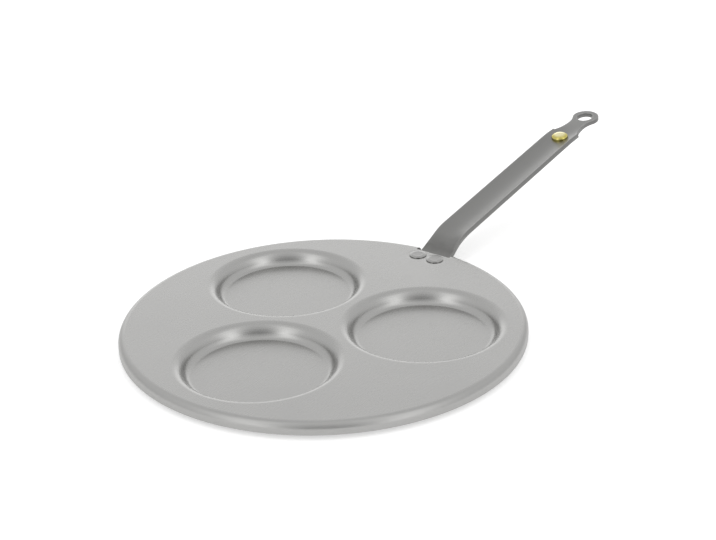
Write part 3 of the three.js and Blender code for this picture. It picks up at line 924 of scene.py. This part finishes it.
# Light by height, which is the sine of the elevation, on each side of the dome and in the two softboxes
SKY_BEHIND = [(0.0, 1.25), (0.21, 1.46), (0.31, 1.28), (0.405, 1.06), (0.5, 0.89), (0.54, 0.86),
              (0.643, 0.85), (0.866, 0.82), (1.0, 0.8)]
SKY_BESIDE = [(0.0, 0.6), (0.1, 0.7), (0.36, 0.82), (0.6, 0.83), (1.0, 0.8)]
SKY_BEFORE = [(0.0, 0.3), (0.3, 0.38), (0.65, 0.54), (0.85, 0.67), (1.0, 0.8)]
SKY_STRIPS = [(0.0, 1.5), (0.2, 1.95), (0.32, 1.8), (0.45, 1.66), (0.75, 1.57), (0.88, 1.4), (1.0, 1.2)]
SKY_STRENGTH = 3.0

# How squarely a direction faces the camera where the dome's two sides begin and where they are full
BEHIND_EDGE = (-0.85, -0.98)
BEFORE_EDGE = (0.88, 0.985)

# The softboxes lie along a plane in (towards the camera, aside, up) and fade on its two sides and to the back
STRIP_PLANE = (0.555, -0.785, 0.275)
STRIP_OUTER = (-0.3, -0.02)
STRIP_INNER = (0.24, 0.1)
STRIP_BACK = (-0.15, 0.2)


def make_floor():
    """A white floor under the wells, with a glow for the camera and in the metal, that keeps the shadow."""
    corners = [(x * FLOOR_REACH, y * FLOOR_REACH, stance) for x, y in ((-1, -1), (1, -1), (1, 1), (-1, 1))]
    mesh = bpy.data.meshes.new("floor")
    mesh.from_pydata(corners, [], [(0, 1, 2, 3)])
    floor = bpy.data.objects.new("floor", mesh)
    bpy.context.scene.collection.objects.link(floor)
    material = bpy.data.materials.new("floor_white")
    nodes = Nodes(material)
    path = nodes.add("ShaderNodeLightPath")
    in_metal = nodes.math("MAXIMUM", path.outputs["Is Glossy Ray"], path.outputs["Is Transmission Ray"])
    seen = nodes.math("MAXIMUM", path.outputs["Is Camera Ray"], nodes.math("MULTIPLY", in_metal, METAL_SHARE))
    diffuse = nodes.add("ShaderNodeBsdfDiffuse", {"Color": shade((FLOOR_WHITE,) * 3, 1.0)})
    glow = nodes.add("ShaderNodeEmission", {"Strength": nodes.math("MULTIPLY", seen, FLOOR_GLOW)})
    both = nodes.add("ShaderNodeAddShader")
    nodes.set(both.inputs[0], diffuse.outputs["BSDF"])
    nodes.set(both.inputs[1], glow.outputs["Emission"])
    output = nodes.add("ShaderNodeOutputMaterial")
    nodes.set(output.inputs["Surface"], both.outputs["Shader"])
    mesh.materials.append(material)


def camera_side(turn, elevation):
    """Direction from the pan at an elevation, turned to the right from the camera's own azimuth."""
    azimuth = CAMERA_AZIMUTH + turn
    level = math.cos(elevation)
    return Vector((math.sin(azimuth) * level, -math.cos(azimuth) * level, math.sin(elevation)))


def sky_levels(nodes, height, stops):
    """Light by height above the horizon."""
    ramp = nodes.add("ShaderNodeValToRGB", {"Fac": height})
    elements = ramp.color_ramp.elements
    while len(elements) < len(stops):
        elements.new(0.5)
    for element, (position, level) in zip(elements, stops):
        element.position = position
        element.color = shade((level / SKY_STRENGTH,) * 3, 1.0)
    return ramp.outputs["Color"]


def make_sky():
    """A soft dome, bright low behind the pan and darker on the camera's side, with two upright softboxes."""
    world = bpy.data.worlds.new("studio")
    bpy.context.scene.world = world
    nodes = Nodes(world)
    direction = nodes.add("ShaderNodeTexCoord").outputs["Generated"]
    height = nodes.add("ShaderNodeSeparateXYZ", {"Vector": direction}).outputs["Z"]
    heading = nodes.vector("NORMALIZE", nodes.vector("MULTIPLY", direction, LEVEL))
    facing = nodes.vector("DOT_PRODUCT", heading, camera_side(0, 0))
    forward = nodes.vector("DOT_PRODUCT", direction, camera_side(0, 0))
    aside = nodes.math("ABSOLUTE", nodes.vector("DOT_PRODUCT", direction, camera_side(math.pi / 2, 0)))
    strip_way = nodes.add("ShaderNodeCombineXYZ", {"X": forward, "Y": aside, "Z": height}).outputs["Vector"]
    off_strip = nodes.vector("DOT_PRODUCT", strip_way, STRIP_PLANE)
    behind = nodes.span(facing, *BEHIND_EDGE, 0.0, 1.0)
    before = nodes.span(facing, *BEFORE_EDGE, 0.0, 1.0)
    outer = nodes.span(off_strip, *STRIP_OUTER, 0.0, 1.0)
    strips = nodes.math("MULTIPLY", outer, nodes.span(off_strip, *STRIP_INNER, 0.0, 1.0))
    strips = nodes.math("MULTIPLY", strips, nodes.span(forward, *STRIP_BACK, 0.0, 1.0))
    sky = nodes.mix(behind, sky_levels(nodes, height, SKY_BESIDE), sky_levels(nodes, height, SKY_BEHIND))
    sky = nodes.mix(before, sky, sky_levels(nodes, height, SKY_BEFORE))
    sky = nodes.mix(strips, sky, sky_levels(nodes, height, SKY_STRIPS))
    background = nodes.add("ShaderNodeBackground", {"Color": sky, "Strength": SKY_STRENGTH})
    output = nodes.add("ShaderNodeOutputWorld")
    nodes.set(output.inputs["Surface"], background.outputs["Background"])


def make_camera():
    """The photograph's camera: its axis is turned so that the frame's origin falls on its pixel."""
    back = camera_side(0, CAMERA_ELEVATION)
    right = Vector((math.cos(CAMERA_AZIMUTH), math.sin(CAMERA_AZIMUTH), 0))
    up = back.cross(right)
    rolled_right = right * math.cos(CAMERA_ROLL) + up * math.sin(CAMERA_ROLL)
    rolled_up = up * math.cos(CAMERA_ROLL) - right * math.sin(CAMERA_ROLL)
    width, height = IMAGE_SIZE
    aside = (ORIGIN_PIXEL[0] - width / 2) / FOCAL_PIXELS
    below = (ORIGIN_PIXEL[1] - height / 2) / FOCAL_PIXELS
    turn = Vector((0, 0, -1)).rotation_difference(Vector((aside, -below, -1)))
    to_camera = turn.to_matrix() @ Matrix((rolled_right, rolled_up, back))
    data = bpy.data.cameras.new("photo_camera")
    data.sensor_width = SENSOR_WIDTH
    data.lens = FOCAL_PIXELS * SENSOR_WIDTH / width
    camera = bpy.data.objects.new("photo_camera", data)
    camera.matrix_world = Matrix.Translation(back * CAMERA_DISTANCE) @ to_camera.transposed().to_4x4()
    bpy.context.scene.collection.objects.link(camera)
    bpy.context.scene.camera = camera


make_floor()
make_sky()
make_camera()
bpy.context.scene.view_settings.view_transform = "Standard"
